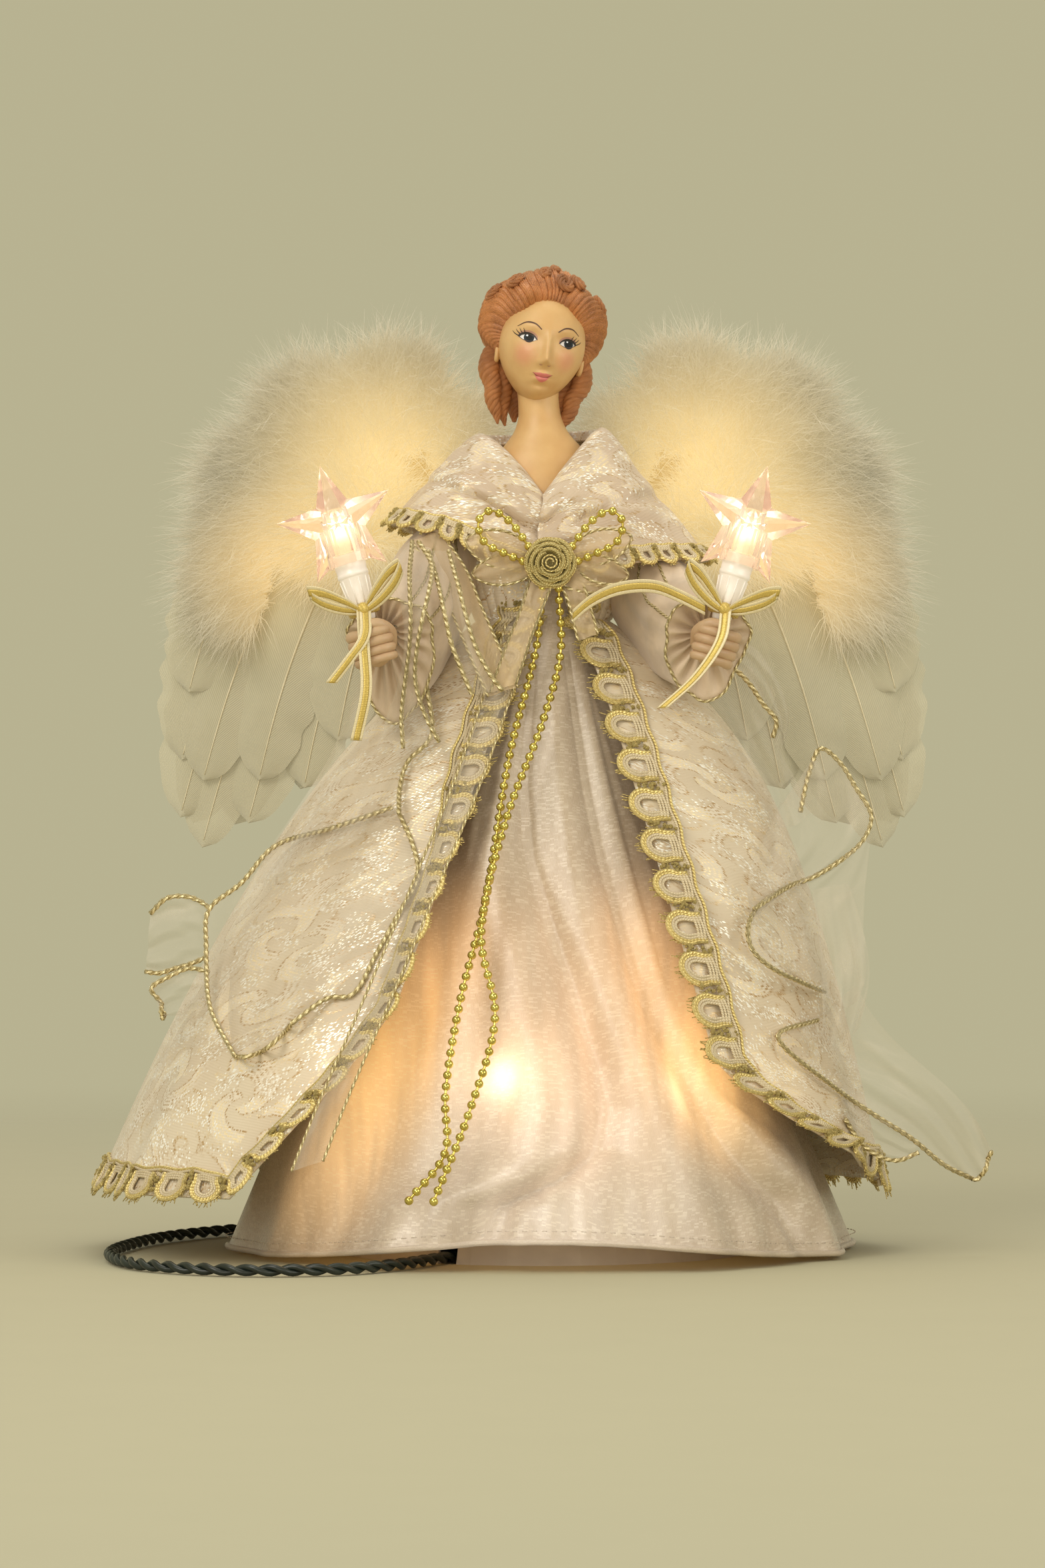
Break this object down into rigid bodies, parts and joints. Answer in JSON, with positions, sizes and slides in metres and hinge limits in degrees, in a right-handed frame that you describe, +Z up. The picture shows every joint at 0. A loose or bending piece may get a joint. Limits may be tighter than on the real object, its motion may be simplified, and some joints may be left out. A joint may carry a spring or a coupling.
{
  "type": "angel tree topper",
  "caption": "Lit angel tree topper: a resin bust on a stiff cone in satin skirt, brocade coat and sheer sleeves, star lamps in both hands, feather wings, bead strands and a plug-in lead.",
  "frame": {"origin": "centre of the cone's open base, on the plane of its rim, where the tree's top shoot enters", "axes": "+Z up along the cone's middle line, the figure faces -Y, +X to the right as seen from the front"},
  "size_m": [0.2632, 0.2621, 0.2963],
  "materials": {
    "card": "matt stiff card",
    "painted_resin": "hand-painted cast resin: skin and copper hair",
    "satin": "soft ivory satin, lit from inside",
    "brocade": "champagne brocade with metallic scrolls",
    "organza": "sheer cream organza with gold wire edges",
    "gold_ribbon": "metallic gold ribbon",
    "gold_bead": "gold-plated plastic beads on a thread",
    "braid": "looped cream braid with gold cord",
    "white_plastic": "moulded white plastic",
    "clear_acrylic": "clear faceted acrylic",
    "lit_glass": "clear miniature lamp, lit",
    "feather": "white goose feathers",
    "marabou": "white down, warmed by the lamp behind it",
    "steel_wire": "plain wire",
    "green_plastic": "dark green flexible plastic",
    "blade_brass": "plain brass"
  },
  "bodies": {
    "figure": {"inner_cone": "card", "resin_bust": "painted_resin", "satin_skirt": "satin", "brocade_coat": "brocade", "brocade_cape": "brocade", "coat_braid_left": "braid", "coat_braid_right": "braid", "cape_braid": "braid", "chest_bow": "organza", "chest_rosette": "gold_ribbon", "bead_loop_left": "gold_bead", "bead_loop_right": "gold_bead", "ribbon_tail": "organza", "wing_bracket": "steel_wire", "harness_trunk": "green_plastic", "lamp_loop_wire": "green_plastic", "skirt_socket_1": "green_plastic", "skirt_socket_2": "green_plastic", "skirt_socket_3": "green_plastic", "skirt_socket_4": "green_plastic", "skirt_bulb_1": "lit_glass", "skirt_bulb_2": "lit_glass", "skirt_bulb_3": "lit_glass", "skirt_bulb_4": "lit_glass", "mains_lead": "green_plastic", "lead_coil": "green_plastic", "lead_tie": "green_plastic", "lead_plug": "green_plastic", "plug_blade_1": "blade_brass", "plug_blade_2": "blade_brass"},
    "arm_left": {"arm_wire_left": "steel_wire", "hand_left": "painted_resin", "sleeve_left": "organza", "drape_left": "organza", "lamp_holder_left": "white_plastic", "star_bulb_left": "lit_glass", "holder_bow_left": "gold_ribbon"},
    "arm_right": {"arm_wire_right": "steel_wire", "hand_right": "painted_resin", "sleeve_right": "organza", "drape_right": "organza", "lamp_holder_right": "white_plastic", "star_bulb_right": "lit_glass", "holder_bow_right": "gold_ribbon", "gold_tie": "gold_ribbon"},
    "star_left": {"star_cap_left": "clear_acrylic"},
    "star_right": {"star_cap_right": "clear_acrylic"},
    "wing_left": {"wing_card_left": "card", "wing_quills_left": "feather", "wing_fluff_left": "marabou", "wing_socket_left": "white_plastic", "wing_bulb_left": "lit_glass"},
    "wing_right": {"wing_card_right": "card", "wing_quills_right": "feather", "wing_fluff_right": "marabou", "wing_socket_right": "white_plastic", "wing_bulb_right": "lit_glass"},
    "bead_strands": {"bead_strand_left": "gold_bead", "bead_strand_right": "gold_bead"}
  },
  "joints": [
    {"name": "arm_left_raise", "type": "hinge", "parent": "figure", "child": "arm_left", "pos_m": [-0.0275, -0.0005, 0.214], "axis": [0, 1, 0], "range_deg": [-8, 20], "deforming": ["sleeve_left", "drape_left"]},
    {"name": "arm_right_raise", "type": "hinge", "parent": "figure", "child": "arm_right", "pos_m": [0.0275, -0.0005, 0.214], "axis": [0, -1, 0], "range_deg": [-8, 20], "deforming": ["sleeve_right", "drape_right", "gold_tie"]},
    {"name": "star_left_pull", "type": "slide", "parent": "arm_left", "child": "star_left", "axis": [-0.2924, 0, 0.9563], "range_m": [0, 0.03]},
    {"name": "star_right_pull", "type": "slide", "parent": "arm_right", "child": "star_right", "axis": [0.2924, 0, 0.9563], "range_m": [0, 0.03]},
    {"name": "wing_left_fold", "type": "hinge", "parent": "figure", "child": "wing_left", "pos_m": [-0.008, 0.0362, 0.215], "axis": [0, 0, -1], "range_deg": [0, 30]},
    {"name": "wing_right_fold", "type": "hinge", "parent": "figure", "child": "wing_right", "pos_m": [0.008, 0.0362, 0.215], "axis": [0, 0, 1], "range_deg": [0, 30]},
    {"name": "bead_swing", "type": "hinge", "parent": "figure", "child": "bead_strands", "pos_m": [0.002, -0.0325, 0.1965], "axis": [-1, 0, 0], "range_deg": [0, 20]}
  ]
}
